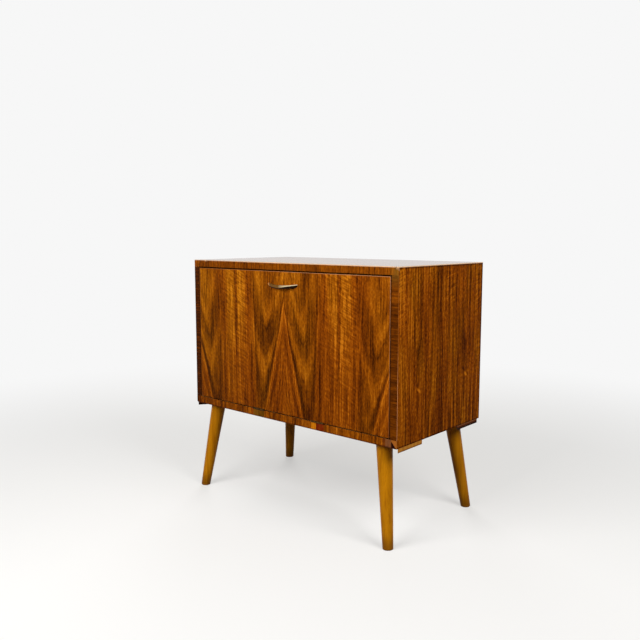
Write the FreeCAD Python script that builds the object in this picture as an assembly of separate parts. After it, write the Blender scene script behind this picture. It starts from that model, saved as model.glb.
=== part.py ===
import FreeCAD, Part
import math
import os
from FreeCAD import Placement, Rotation, Vector

# Cellarette: a veneered drinks cabinet with a fall front, on four splayed legs.
# Millimetres. Seen by someone facing it, +X is right, -Y is towards them and +Z is up.
# The origin is on the floor, under the middle of the outline seen from above.

# Carcass: four boards mitred at the corners, with edge veneers on their front edges
carcass_width = 734.0
carcass_depth = 389.0
carcass_height = 428.0
board = 20.0
edge_veneer = 1.6
spline_width = 14.0
spline_thickness = 3.0
spline_stop = 14.0
spline_place_share = 0.56
worn_corner = 6.0
worn_depth = 30.0

# Back panel in a rebate
back_thickness = 5.0
rebate = 9.0

# Shelf over the rear half of the inside, on pins
shelf_depth = 185.0
shelf_thickness = 14.0
shelf_rise = 205.0
shelf_pin_radius = 2.5
shelf_pin_bearing = 9.0
shelf_pin_socket = 10.0
shelf_pin_place_shares = (0.14, 0.86)

# Flap
flap_thickness = 20.0
flap_edge_veneer = 1.2
flap_top_gap = 3.3
flap_side_gap = 2.7
flap_bottom_gap = 3.0
flap_opening = 90.0

# Handle: a bow that stands out and droops, thin in the middle and footed at its ends
handle_length = 108.0
handle_projection = 12.5
handle_droop = 4.8
handle_thickness = 2.6
handle_foot = 9.0
handle_middle_height = 9.0
handle_end_height = 7.5
handle_below_top = 58.8
handle_offset = -3.5
handle_post_radius = 2.4
handle_post_inset = 13.0
handle_screw_radius = 1.5
handle_screw_head_radius = 3.4
handle_screw_head = 2.0
handle_screw_grip = 2.0

# Hinges
hinge_offset = 108.5
hinge_shift = 10.0
hinge_length = 44.0
hinge_leaf_width = 16.0
hinge_leaf_thickness = 1.2
hinge_pin_radius = 1.1
hinge_knuckles = 5
knuckle_gap = 0.3
hinge_screw_row_share = 0.6
hinge_screw_place_shares = (-0.34, 0.0, 0.34)

# Stays: a slotted arm that turns on the flap and slides on a stud in the side board
stay_pivot_rise = 140.0
stay_stud_lean = 45.0
stay_play = 0.4
arm_half_width = 7.0
arm_thickness = 2.5
arm_flap_gap = 1.0
slot_play = 0.2
stud_shoulder_radius = 2.5
stud_flange_radius = 6.0
stud_flange = 1.6
stud_head_radius = 5.0
stud_head = 2.0
stud_thread_radius = 2.0
stud_thread = 12.0
rivet_radius = 2.5
rivet_head_radius = 4.0
rivet_head_share = 0.5
bracket_thickness = 2.0
bracket_width = 26.0
bracket_height = 30.0
bracket_screw_in_share = 0.68
bracket_screw_rise_shares = (-0.3, 0.3)

# Magnetic catch under the top board, and its keeper on the flap
catch_length = 46.0
catch_depth = 15.0
catch_height = 16.0
magnet_length = 28.0
magnet_depth = 6.0
magnet_height = 9.0
magnet_below_top = 10.0
keeper_length = 42.0
keeper_height = 12.0
keeper_thickness = 1.5
catch_gap = 0.3
catch_screw_share = 0.4
keeper_screw_share = 0.36

# Legs, and the narrow plates under the side boards beside them
leg_height = 253.0
leg_top_radius = 20.8
foot_radius = 13.2
foot_rounding = 3.5
foot_sink = 2.0
leg_inset_side = 60.5
leg_inset_front = 34.0
leg_inset_rear = 44.0
leg_splay_side = 35.0
leg_splay_end = 28.5
dowel_radius = 4.0
dowel_in_leg = 30.0
dowel_in_board = 12.0
plate_thickness = 10.5
plate_length = 103.0
plate_width = 18.0
plate_end_slant = 26.0
plate_front_setback = 4.5
plate_rear_setback = 11.0
plate_screw_place_shares = (0.2, 0.8)
plate_screw_grip = 9.0

# Countersunk screws
screw_radius = 1.6
screw_head_radius = 3.3
screw_length = 16.0
small_screw_radius = 1.1
small_screw_head_radius = 2.3
small_screw_length = 11.0
back_screw_across_shares = (-0.8, 0.0, 0.8)
back_screw_up_shares = (0.25, 0.75)

# Clearances
fit_clearance = 0.1
pin_clearance = 0.05
panel_clearance = 0.5
cut_overrun = 2.0

X = Vector(1, 0, 0)
Y = Vector(0, 1, 0)
Z = Vector(0, 0, 1)
full_turn = 360.0
SIDES = {"left": -1, "right": 1}

# Main levels and faces
handle_bow = math.hypot(handle_projection, handle_droop)
handle_tilt = math.atan2(handle_droop, handle_projection)
handle_reach = handle_projection + handle_middle_height / 2 * math.sin(handle_tilt)
front_y = (handle_reach - carcass_depth) / 2
back_y = front_y + carcass_depth
board_front_y = front_y + edge_veneer
back_panel_y = back_y - back_thickness
base_z = leg_height
top_z = base_z + carcass_height
floor_z = base_z + board
ceiling_z = top_z - board
outer_x = carcass_width / 2
inner_x = outer_x - board
flap_x = inner_x - flap_side_gap
flap_back_y = front_y + flap_thickness
flap_bottom_z = floor_z + flap_bottom_gap
flap_top_z = ceiling_z - flap_top_gap
hinge_z = floor_z + flap_bottom_gap / 2
handle_z = top_z - handle_below_top
knuckle_radius = flap_bottom_gap / 2 + hinge_leaf_thickness - knuckle_gap

# Stay geometry: pivot and stud lie on one circle about the hinge pin
pivot_y = flap_back_y + arm_half_width + arm_flap_gap
pivot_z = hinge_z + stay_pivot_rise
stay_radius = math.hypot(pivot_y - front_y, stay_pivot_rise)
pivot_lean = math.atan2(pivot_y - front_y, stay_pivot_rise)
stud_lean = math.radians(stay_stud_lean)
stud_y = front_y + stay_radius * math.sin(stud_lean)
stud_z = hinge_z + stay_radius * math.cos(stud_lean)
closed_reach = 2 * stay_radius * math.sin((stud_lean - pivot_lean) / 2)
open_reach = 2 * stay_radius * math.sin((stud_lean - pivot_lean + math.radians(flap_opening)) / 2)

# Depths of the stay's layers, measured inwards from the face of the side board
arm_near = stud_flange + stay_play
arm_far = arm_near + arm_thickness
lug_near = arm_far + stay_play
lug_far = lug_near + bracket_thickness
rivet_head = stud_flange * rivet_head_share

# Ends of the carcass: direction, face, and how far the legs and plates stand back from it
ENDS = {
    "front": (-1, front_y, leg_inset_front, plate_front_setback),
    "rear": (1, back_y, leg_inset_rear, plate_rear_setback),
}

parts = {}


def box(x, y, z):
    """Box between a pair of limits along each axis."""
    size = (x[1] - x[0], y[1] - y[0], z[1] - z[0])
    return Part.makeBox(*size, Vector(x[0], y[0], z[0]))


def prism(points, sweep):
    """Closed outline swept along a vector."""
    return Part.Face(Part.makePolygon(points + points[:1])).extrude(sweep)


def turned(profile, at, axis):
    """Solid of revolution from (radius, height) pairs, standing on a point along an axis."""
    points = [Vector(radius, 0, height) for radius, height in profile]
    solid = Part.Face(Part.makePolygon(points + points[:1])).revolve(Vector(), Z, full_turn)
    solid.Placement = Placement(at, Rotation(Z, axis))
    return solid


def stadium(start, end, radius, sweep):
    """Round-ended bar between two points, swept along a vector."""
    along = (end - start).normalize()
    across = along.cross(sweep).normalize()
    edges = [
        Part.LineSegment(start + across * radius, end + across * radius),
        Part.Arc(end + across * radius, end + along * radius, end - across * radius),
        Part.LineSegment(end - across * radius, start - across * radius),
        Part.Arc(start - across * radius, start - along * radius, start + across * radius),
    ]
    return Part.Face(Part.Wire([edge.toShape() for edge in edges])).extrude(sweep)


def screw(at, axis, head_radius, radius, length):
    """Countersunk screw with its flat head centred on a point."""
    taper = head_radius - radius
    profile = [(0, 0), (head_radius, 0), (radius, taper), (radius, length), (0, length)]
    return turned(profile, at, axis)


def fasten(group, places, axis, sizes, through):
    """Makes a group of screws and bores their seats in the pieces that they pass through."""
    seat_sizes = [size + fit_clearance for size in sizes]
    seats = Part.makeCompound([screw(at, axis, *seat_sizes) for at in places])
    parts[group] = Part.makeCompound([screw(at, axis, *sizes) for at in places])
    cut(through, seats)


def cut(names, tool):
    """Cuts one tool out of several pieces."""
    for name in names:
        parts[name] = parts[name].cut(tool)


def corners(half_width, low, high):
    """Corners of an upright rectangle at the front of the boards, round from the bottom left."""
    places = ((-half_width, low), (half_width, low), (half_width, high), (-half_width, high))
    return [Vector(x, board_front_y, z) for x, z in places]


def make_carcass():
    """Four mitred boards with splined corners, and the edge veneers on their front edges."""
    names = ("bottom_panel", "right_side_panel", "top_panel", "left_side_panel")
    outer = corners(outer_x, base_z, top_z)
    inner = corners(inner_x, floor_z, ceiling_z)
    for i, name in enumerate(names):
        j = (i + 1) % len(names)
        outline = [outer[i], outer[j], inner[j], inner[i]]
        parts[name] = prism(outline, Y * (back_y - board_front_y))

    splines = []
    for i, name in enumerate(names):
        along = (inner[i] - outer[i]).normalize()
        across = along.cross(Y)
        middle = outer[i] + (inner[i] - outer[i]) * spline_place_share + Y * spline_stop
        half_width = across * spline_width / 2
        half_thickness = along * spline_thickness / 2
        outline = [
            middle - half_width - half_thickness,
            middle + half_width - half_thickness,
            middle + half_width + half_thickness,
            middle - half_width + half_thickness,
        ]
        spline = prism(outline, Y * (back_panel_y - board_front_y - 2 * spline_stop))
        cut((name, names[i - 1]), spline)
        splines.append(spline)
    parts["corner_splines"] = Part.makeCompound(splines)

    veneer_y = (front_y, board_front_y)
    parts["top_edge_veneer"] = box((-outer_x, outer_x), veneer_y, (ceiling_z, top_z))
    parts["bottom_edge_veneer"] = box((-outer_x, outer_x), veneer_y, (base_z, floor_z))
    parts["left_edge_veneer"] = box((-outer_x, -inner_x), veneer_y, (floor_z, ceiling_z))
    parts["right_edge_veneer"] = box((inner_x, outer_x), veneer_y, (floor_z, ceiling_z))
    wear_corner(("bottom_edge_veneer", "bottom_panel", "left_side_panel"))
    return names


def wear_corner(names):
    """Rounds the lower left corner of the front, less and less towards the back."""
    corner = Vector(-outer_x, front_y - cut_overrun, base_z)
    inward = (X + Z) * worn_corner
    start = corner + X * worn_corner
    middle = corner + inward * (1 - math.sqrt(0.5))
    end = corner + Z * worn_corner
    around = [end, end - X * cut_overrun, corner - (X + Z) * cut_overrun, start - Z * cut_overrun, start]
    edges = [arc_between(start, middle, end)]
    edges += [Part.makeLine(a, b) for a, b in zip(around, around[1:])]
    sweep = Y * (worn_depth + cut_overrun) - inward
    cut(names, Part.Face(Part.Wire(edges)).extrude(sweep))


def make_back(boards):
    """Thin back panel, flush in a rebate round the boards, and its screws."""
    half = inner_x + rebate
    low = floor_z - rebate
    high = ceiling_z + rebate
    cut(boards, box((-half, half), (back_panel_y, back_y + cut_overrun), (low, high)))
    parts["back_panel"] = box(
        (-half + panel_clearance, half - panel_clearance),
        (back_panel_y, back_y),
        (low + panel_clearance, high - panel_clearance),
    )
    land = rebate / 2
    places = []
    for share in back_screw_across_shares:
        places.append(Vector(inner_x * share, back_y, floor_z - land))
        places.append(Vector(inner_x * share, back_y, ceiling_z + land))
    for share in back_screw_up_shares:
        rise = floor_z + (ceiling_z - floor_z) * share
        places.append(Vector(-inner_x - land, back_y, rise))
        places.append(Vector(inner_x + land, back_y, rise))
    sizes = (screw_head_radius, screw_radius, screw_length)
    fasten("back_screws", places, -Y, sizes, ("back_panel",) + boards)


def make_shelf():
    """Half-depth shelf that lies on four pins in the side boards."""
    shelf_z = floor_z + shelf_rise
    rear = back_panel_y - panel_clearance
    half = inner_x - panel_clearance
    shelf_y = (rear - shelf_depth, rear)
    parts["shelf"] = box((-half, half), shelf_y, (shelf_z, shelf_z + shelf_thickness))
    pins = []
    for name, side in SIDES.items():
        for share in shelf_pin_place_shares:
            middle = Vector(0, rear - shelf_depth * share, shelf_z - shelf_pin_radius)
            root = middle + X * side * (inner_x + shelf_pin_socket)
            length = shelf_pin_socket + shelf_pin_bearing
            pins.append(Part.makeCylinder(shelf_pin_radius, length, root, X * -side))
            bore_root = root + X * side * fit_clearance
            bore_radius = shelf_pin_radius + fit_clearance
            bore = Part.makeCylinder(bore_radius, length, bore_root, X * -side)
            cut((name + "_side_panel",), bore)
    parts["shelf_pins"] = Part.makeCompound(pins)


def make_flap():
    """Flap board with edge veneers at its top and sides."""
    face_y = (front_y, flap_back_y)
    panel_x = flap_x - flap_edge_veneer
    panel_top = flap_top_z - flap_edge_veneer
    parts["flap_panel"] = box((-panel_x, panel_x), face_y, (flap_bottom_z, panel_top))
    parts["flap_top_edge_veneer"] = box((-flap_x, flap_x), face_y, (panel_top, flap_top_z))
    parts["flap_left_edge_veneer"] = box((-flap_x, -panel_x), face_y, (flap_bottom_z, panel_top))
    parts["flap_right_edge_veneer"] = box((panel_x, flap_x), face_y, (flap_bottom_z, panel_top))


def arc_between(start, middle, end):
    """Edge of a circular arc through three points."""
    return Part.Arc(start, middle, end).toShape()


def make_handle():
    """Drooping bow handle on two posts, screwed on from inside the flap."""
    half = handle_length / 2
    root = Vector(handle_offset, front_y, handle_z)
    outer = [root - X * half, root - Y * handle_bow, root + X * half]
    inner_half = half - handle_foot
    inner = [root + X * inner_half, root - Y * (handle_bow - handle_thickness), root - X * inner_half]
    tail = Y * handle_middle_height
    crescent = Part.Wire([
        arc_between(*outer),
        Part.makeLine(outer[2], outer[2] + tail),
        Part.makeLine(outer[2] + tail, inner[0] + tail),
        Part.makeLine(inner[0] + tail, inner[0]),
        arc_between(*inner),
        Part.makeLine(inner[2], inner[2] + tail),
        Part.makeLine(inner[2] + tail, outer[0] + tail),
        Part.makeLine(outer[0] + tail, outer[0]),
    ])
    plan = Part.Face(crescent).extrude(Z * handle_middle_height)
    plan.translate(Z * -handle_middle_height / 2)

    far = root - Y * (handle_bow + cut_overrun)
    end_rise = Z * handle_end_height / 2
    middle_rise = Z * handle_middle_height / 2
    leaf = Part.Wire([
        arc_between(far - X * half - end_rise, far - middle_rise, far + X * half - end_rise),
        Part.makeLine(far + X * half - end_rise, far + X * half + end_rise),
        arc_between(far + X * half + end_rise, far + middle_rise, far - X * half + end_rise),
        Part.makeLine(far - X * half + end_rise, far - X * half - end_rise),
    ])
    front = Part.Face(leaf).extrude(Y * (handle_bow + 2 * handle_middle_height))
    bow = plan.common(front)
    bow.rotate(root, X, math.degrees(handle_tilt))

    # The posts reach from the flap to the middle of the bow's thickness above them.
    post_x = half - handle_post_inset
    curve = (half * half + handle_bow * handle_bow) / (2 * handle_bow)
    stand = math.sqrt(curve * curve - post_x * post_x) - (curve - handle_bow) - handle_thickness / 2
    post_root = root - Z * stand * math.sin(handle_tilt)
    post_height = stand * math.cos(handle_tilt)
    screws = []
    for side in SIDES.values():
        foot = post_root + X * side * post_x
        bow = bow.fuse(Part.makeCylinder(handle_post_radius, post_height, foot, -Y))
        head_at = Vector(foot.x, flap_back_y + handle_screw_head, foot.z)
        shank_end = handle_screw_head + flap_thickness + handle_screw_grip
        profile = [
            (0, 0),
            (handle_screw_head_radius, 0),
            (handle_screw_head_radius, handle_screw_head),
            (handle_screw_radius, handle_screw_head),
            (handle_screw_radius, shank_end),
            (0, shank_end),
        ]
        screws.append(turned(profile, head_at, -Y))
        bore_radius = handle_screw_radius + fit_clearance
        bore = Part.makeCylinder(bore_radius, shank_end + fit_clearance, head_at, -Y)
        cut(("flap_panel",), bore)
        bow = bow.cut(bore)
    span = (handle_offset - handle_length, handle_offset + handle_length)
    behind = box(span, (front_y, flap_back_y), (handle_z - handle_length, handle_z + handle_length))
    parts["handle"] = bow.cut(behind)
    parts["handle_screws"] = Part.makeCompound(screws)


def hinge_leaf(middle_x, way):
    """Hinge leaf below (way -1) or above (way 1) the pin, with its own knuckles."""
    face_z = hinge_z + way * flap_bottom_gap / 2
    leaf_z = sorted((face_z, face_z + way * hinge_leaf_thickness))
    start_x = middle_x - hinge_length / 2
    root_y = front_y + knuckle_radius + knuckle_gap
    leaf = box((start_x, start_x + hinge_length), (root_y, front_y + hinge_leaf_width), leaf_z)
    pitch = hinge_length / hinge_knuckles
    pieces = []
    for i in range((way + 1) // 2, hinge_knuckles, 2):
        knuckle_x = (start_x + i * pitch + knuckle_gap / 2, start_x + (i + 1) * pitch - knuckle_gap / 2)
        at = Vector(knuckle_x[0], front_y, hinge_z)
        pieces.append(box(knuckle_x, (front_y, root_y), leaf_z))
        pieces.append(Part.makeCylinder(knuckle_radius, knuckle_x[1] - knuckle_x[0], at, X))
    bore_at = Vector(start_x, front_y, hinge_z)
    bore = Part.makeCylinder(hinge_pin_radius + pin_clearance, hinge_length, bore_at, X)
    return leaf.fuse(pieces).cut(bore).removeSplitter()


def hinge_pocket(middle_x, way):
    """Recess that takes one hinge leaf."""
    face_z = hinge_z + way * flap_bottom_gap / 2
    pocket_z = sorted((face_z - way * cut_overrun, face_z + way * hinge_leaf_thickness))
    half = hinge_length / 2 + fit_clearance
    pocket_y = (front_y - cut_overrun, front_y + hinge_leaf_width + fit_clearance)
    return box((middle_x - half, middle_x + half), pocket_y, pocket_z)


def make_hinges():
    """Two butt hinges let into the bottom board and the lower edge of the flap."""
    screw_y = front_y + hinge_leaf_width * hinge_screw_row_share
    places = []
    for name, side in SIDES.items():
        middle_x = side * hinge_offset + hinge_shift
        parts[name + "_hinge_fixed_leaf"] = hinge_leaf(middle_x, -1)
        parts[name + "_hinge_flap_leaf"] = hinge_leaf(middle_x, 1)
        pin_at = Vector(middle_x - hinge_length / 2, front_y, hinge_z)
        parts[name + "_hinge_pin"] = Part.makeCylinder(hinge_pin_radius, hinge_length, pin_at, X)
        cut(("bottom_panel", "bottom_edge_veneer"), hinge_pocket(middle_x, -1))
        cut(("flap_panel",), hinge_pocket(middle_x, 1))
        for share in hinge_screw_place_shares:
            places.append(Vector(middle_x + hinge_length * share, screw_y, floor_z))
    sizes = (small_screw_head_radius, small_screw_radius, small_screw_length)
    fixed = ("left_hinge_fixed_leaf", "right_hinge_fixed_leaf", "bottom_panel")
    moving = ("left_hinge_flap_leaf", "right_hinge_flap_leaf", "flap_panel")
    fasten("hinge_fixed_leaf_screws", places, -Z, sizes, fixed)
    raised = [at + Z * flap_bottom_gap for at in places]
    fasten("hinge_flap_leaf_screws", raised, Z, sizes, moving)


def make_stay(name, side):
    """One slotted stay: arm, flap bracket, pivot rivet and side stud."""
    inwards = X * -side
    pivot = Vector(side * inner_x, pivot_y, pivot_z)
    stud = Vector(side * inner_x, stud_y, stud_z)
    along = (stud - pivot).normalize()

    arm_start = pivot + inwards * arm_near
    arm_end = arm_start + along * (open_reach + slot_play)
    slot_start = arm_start + along * (closed_reach - slot_play)
    slot_radius = stud_shoulder_radius + slot_play
    arm = stadium(arm_start, arm_end, arm_half_width, inwards * arm_thickness)
    arm = arm.cut(stadium(slot_start, arm_end, slot_radius, inwards * arm_thickness))
    eye = Part.makeCylinder(rivet_radius + pin_clearance, arm_thickness, arm_start, inwards)
    parts[name + "_stay_arm"] = arm.cut(eye)

    stud_levels = [stud_thread]
    for layer in (stud_flange, stay_play + arm_thickness + stay_play, stud_head):
        stud_levels.append(stud_levels[-1] + layer)
    profile = [
        (0, 0),
        (stud_thread_radius, 0),
        (stud_thread_radius, stud_levels[0]),
        (stud_flange_radius, stud_levels[0]),
        (stud_flange_radius, stud_levels[1]),
        (stud_shoulder_radius, stud_levels[1]),
        (stud_shoulder_radius, stud_levels[2]),
        (stud_head_radius, stud_levels[2]),
        (stud_head_radius, stud_levels[3]),
        (0, stud_levels[3]),
    ]
    root = stud - inwards * stud_thread
    parts[name + "_stay_stud"] = turned(profile, root, inwards)
    bore_root = root - inwards * fit_clearance
    bore_radius = stud_thread_radius + fit_clearance
    bore = Part.makeCylinder(bore_radius, stud_thread + fit_clearance, bore_root, inwards)
    cut((name + "_side_panel",), bore)

    head_start = stud_flange - rivet_head
    levels = [head_start, stud_flange, lug_far, lug_far + rivet_head]
    profile = [
        (0, levels[0]),
        (rivet_head_radius, levels[0]),
        (rivet_head_radius, levels[1]),
        (rivet_radius, levels[1]),
        (rivet_radius, levels[2]),
        (rivet_head_radius, levels[2]),
        (rivet_head_radius, levels[3]),
        (0, levels[3]),
    ]
    parts[name + "_stay_rivet"] = turned(profile, pivot, inwards)

    lug_x = sorted((side * (inner_x - lug_near), side * (inner_x - lug_far)))
    base_x = sorted((side * (inner_x - lug_near), side * (inner_x - lug_near - bracket_width)))
    base_z_span = (pivot_z - bracket_height / 2, pivot_z + bracket_height / 2)
    base = box(base_x, (flap_back_y, flap_back_y + bracket_thickness), base_z_span)
    lug = box(lug_x, (flap_back_y, pivot_y), (pivot_z - arm_half_width, pivot_z + arm_half_width))
    lug_at = pivot + inwards * lug_near
    lug_end = Part.makeCylinder(arm_half_width, bracket_thickness, lug_at, inwards)
    hole = Part.makeCylinder(rivet_radius + pin_clearance, bracket_thickness, lug_at, inwards)
    parts[name + "_stay_bracket"] = base.fuse([lug, lug_end]).cut(hole).removeSplitter()


def make_stays():
    """Both stays and the screws of their brackets."""
    places = []
    for name, side in SIDES.items():
        make_stay(name, side)
        screw_x = side * (inner_x - lug_near - bracket_width * bracket_screw_in_share)
        for share in bracket_screw_rise_shares:
            rise = pivot_z + bracket_height * share
            places.append(Vector(screw_x, flap_back_y + bracket_thickness, rise))
    sizes = (screw_head_radius, screw_radius, screw_length)
    through = ("left_stay_bracket", "right_stay_bracket", "flap_panel")
    fasten("stay_bracket_screws", places, -Y, sizes, through)


def make_catch():
    """Magnetic catch under the top board, with a steel keeper on the flap."""
    case_y = flap_back_y + keeper_thickness + catch_gap
    magnet_z = ceiling_z - magnet_below_top
    case = box(
        (-catch_length / 2, catch_length / 2),
        (case_y, case_y + catch_depth),
        (ceiling_z - catch_height, ceiling_z),
    )
    magnet = box(
        (-magnet_length / 2, magnet_length / 2),
        (case_y, case_y + magnet_depth),
        (magnet_z - magnet_height / 2, magnet_z + magnet_height / 2),
    )
    parts["catch_case"] = case.cut(magnet)
    parts["catch_magnet"] = magnet
    parts["catch_keeper"] = box(
        (-keeper_length / 2, keeper_length / 2),
        (flap_back_y, flap_back_y + keeper_thickness),
        (magnet_z - keeper_height / 2, magnet_z + keeper_height / 2),
    )
    screw_y = case_y + catch_depth / 2
    case_screws = []
    keeper_screws = []
    for side in SIDES.values():
        case_x = side * catch_length * catch_screw_share
        case_screws.append(Vector(case_x, screw_y, ceiling_z - catch_height))
        keeper_x = side * keeper_length * keeper_screw_share
        keeper_screws.append(Vector(keeper_x, flap_back_y + keeper_thickness, magnet_z))
    case_sizes = (small_screw_head_radius, small_screw_radius, catch_height + small_screw_length)
    fasten("catch_screws", case_screws, Z, case_sizes, ("catch_case", "top_panel"))
    keeper_sizes = (small_screw_head_radius, small_screw_radius, small_screw_length)
    fasten("keeper_screws", keeper_screws, -Y, keeper_sizes, ("catch_keeper", "flap_panel"))


def leg_blank(length):
    """Round tapered leg along Z, rounded at its foot."""
    shoulder = foot_radius - foot_rounding
    slant = foot_rounding * math.sqrt(0.5)
    start = Vector(0, 0, -foot_sink)
    edge = Vector(shoulder, 0, -foot_sink)
    bulge = Vector(shoulder + slant, 0, foot_rounding - slant - foot_sink)
    ankle = Vector(foot_radius, 0, foot_rounding - foot_sink)
    rim = Vector(leg_top_radius, 0, length)
    top = Vector(0, 0, length)
    outline = Part.Wire([
        Part.makeLine(start, edge),
        arc_between(edge, bulge, ankle),
        Part.makeLine(ankle, rim),
        Part.makeLine(rim, top),
        Part.makeLine(top, start),
    ])
    return Part.Face(outline).revolve(Vector(), Z, full_turn)


def make_legs():
    """Splayed legs on dowel screws in the bottom board."""
    around = (-carcass_width, carcass_width)
    level = box(around, around, (0, leg_height))
    slant = leg_top_radius * math.hypot(leg_splay_side, leg_splay_end) / leg_height
    dowels = []
    for end_name, (end, face_y, inset, _) in ENDS.items():
        for side_name, side in SIDES.items():
            name = f"{end_name}_{side_name}_leg"
            top = Vector(side * (outer_x - leg_inset_side), face_y - end * inset, base_z)
            foot = Vector(top.x + side * leg_splay_side, top.y + end * leg_splay_end, 0)
            axis = top - foot
            blank = leg_blank(axis.Length + slant + cut_overrun)
            blank.Placement = Placement(foot, Rotation(Z, axis))
            parts[name] = blank.common(level)

            axis.normalize()
            dowel_root = top - axis * dowel_in_leg
            dowel_length = dowel_in_leg + dowel_in_board
            dowels.append(Part.makeCylinder(dowel_radius, dowel_length, dowel_root, axis))
            bore_root = dowel_root - axis * fit_clearance
            bore_length = dowel_length + 2 * fit_clearance
            bore = Part.makeCylinder(dowel_radius + fit_clearance, bore_length, bore_root, axis)
            cut((name, "bottom_panel"), bore)
    parts["leg_dowel_screws"] = Part.makeCompound(dowels)


def make_plates():
    """Narrow plates with slanted ends under the side boards, flush with the sides of the carcass."""
    names = []
    places = []
    for end_name, (end, face_y, _, setback) in ENDS.items():
        for side_name, side in SIDES.items():
            corner = Vector(side * outer_x, face_y - end * setback, base_z - plate_thickness)
            across = X * -side * plate_width
            along = Y * -end * plate_length
            slant = Y * -end * plate_end_slant
            outline = [corner, corner + along, corner + along - slant + across, corner + slant + across]
            name = f"{end_name}_{side_name}_leg_plate"
            names.append(name)
            parts[name] = prism(outline, Z * plate_thickness)
            for share in plate_screw_place_shares:
                places.append(corner + across / 2 + along * share)
    sizes = (screw_head_radius, screw_radius, plate_thickness + plate_screw_grip)
    boards = ["bottom_panel", "left_side_panel", "right_side_panel"]
    fasten("leg_plate_screws", places, Z, sizes, names + boards)


def main():
    boards = make_carcass()
    make_back(boards)
    make_shelf()
    make_flap()
    make_handle()
    make_hinges()
    make_stays()
    make_catch()
    make_legs()
    make_plates()
    os.makedirs("parts", exist_ok=True)
    for name, shape in parts.items():
        shape.exportStep(f"parts/{name}.step")


main()
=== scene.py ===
import math

import bpy
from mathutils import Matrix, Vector


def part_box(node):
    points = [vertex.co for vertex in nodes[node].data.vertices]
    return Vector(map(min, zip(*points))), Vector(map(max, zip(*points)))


# Looks of a cellarette: walnut veneer, honey-stained legs and aged brass, in metres
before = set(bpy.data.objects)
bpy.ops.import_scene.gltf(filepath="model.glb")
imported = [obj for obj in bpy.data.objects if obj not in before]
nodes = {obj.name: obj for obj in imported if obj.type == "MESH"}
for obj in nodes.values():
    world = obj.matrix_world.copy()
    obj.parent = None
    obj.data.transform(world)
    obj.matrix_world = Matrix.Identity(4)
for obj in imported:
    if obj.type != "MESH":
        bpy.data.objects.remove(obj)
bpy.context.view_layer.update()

# Faces of the carcass, the flap and the fittings, read from the frame
carcass_low, carcass_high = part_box("right_side_panel")
flap_low, flap_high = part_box("flap_panel")
bottom_low, bottom_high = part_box("bottom_panel")
strip_low, strip_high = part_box("top_edge_veneer")
handle_low, handle_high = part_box("handle")
plate_low, plate_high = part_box("front_right_leg_plate")
OUTER_X = carcass_high.x
INNER_X = carcass_low.x
FRONT_Y = strip_low.y
BACK_Y = carcass_high.y
BASE_Z = carcass_low.z
TOP_Z = carcass_high.z
SIDE_MIDDLE_X = (INNER_X + OUTER_X) / 2
TOP_MIDDLE_Z = (strip_low.z + strip_high.z) / 2
BOTTOM_MIDDLE_Z = (bottom_low.z + bottom_high.z) / 2
HANDLE_MIDDLE_X = (handle_low.x + handle_high.x) / 2
HANDLE_HALF = (handle_high.x - handle_low.x) / 2
PLATE_HEIGHT = plate_high.z - plate_low.z

# A face looks along an axis where its normal passes this share of it
FACING = 0.5

# Camera of the photograph, in its frame of 640 by 640 pixels
FRAME_PIXELS = 640
FOCAL_PIXELS = 707.14
SENSOR_MM = 36.0
CAMERA_AT = (1.2981, -1.5130, 0.7499)
CAMERA_PITCH = 0.1180
CAMERA_YAW = 0.7234


def srgb(red, green, blue):
    """Linear colour from 8-bit display values."""
    def linear(value):
        value = value / 255
        return value / 12.92 if value <= 0.04045 else ((value + 0.055) / 1.055) ** 2.4
    return (linear(red), linear(green), linear(blue), 1.0)


class Field:
    """A shader socket that takes part in sums."""

    def __init__(self, tree, socket):
        self.tree = tree
        self.socket = socket

    def math(self, operation, *values):
        node = self.tree.nodes.new("ShaderNodeMath")
        node.operation = operation
        for socket, value in zip(node.inputs, values):
            plug(self.tree, socket, value)
        return Field(self.tree, node.outputs[0])

    def __add__(self, other):
        return self.math("ADD", self, other)

    def __sub__(self, other):
        return self.math("SUBTRACT", self, other)

    def __rsub__(self, other):
        return self.math("SUBTRACT", other, self)

    def __mul__(self, other):
        return self.math("MULTIPLY", self, other)

    def __abs__(self):
        return self.math("ABSOLUTE", self)

    __radd__ = __add__
    __rmul__ = __mul__

    def above(self, limit):
        """1 where the field is over a limit, and 0 elsewhere."""
        return self.math("GREATER_THAN", self, limit)

    def most(self, other):
        return self.math("MAXIMUM", self, other)

    def least(self, other):
        return self.math("MINIMUM", self, other)

    def clamped(self):
        return self.most(0.0).least(1.0)

    def root(self):
        return self.math("SQRT", self)

    def step(self, start, end):
        """Smooth climb from 0 at start to 1 at end."""
        node = self.tree.nodes.new("ShaderNodeMapRange")
        node.interpolation_type = "SMOOTHSTEP"
        for socket, value in zip(node.inputs, (self, start, end)):
            plug(self.tree, socket, value)
        return Field(self.tree, node.outputs[0])

    def band(self, start, end, blur):
        """1 between two limits, with soft edges."""
        return self.step(start - blur, start + blur) * (1 - self.step(end - blur, end + blur))

    def spot(self, place, reach):
        """1 at a place, fading to 0 at a reach on each side of it."""
        return 1 - abs(self - place).step(0.0, reach)

    def stroke(self, place, reach, strength):
        """A spot of some strength."""
        return self.spot(place, reach) * strength


def plug(tree, socket, value):
    """Links a field to a socket, or sets a constant on it."""
    if isinstance(value, Field):
        tree.links.new(value.socket, socket)
    else:
        socket.default_value = value


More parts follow.
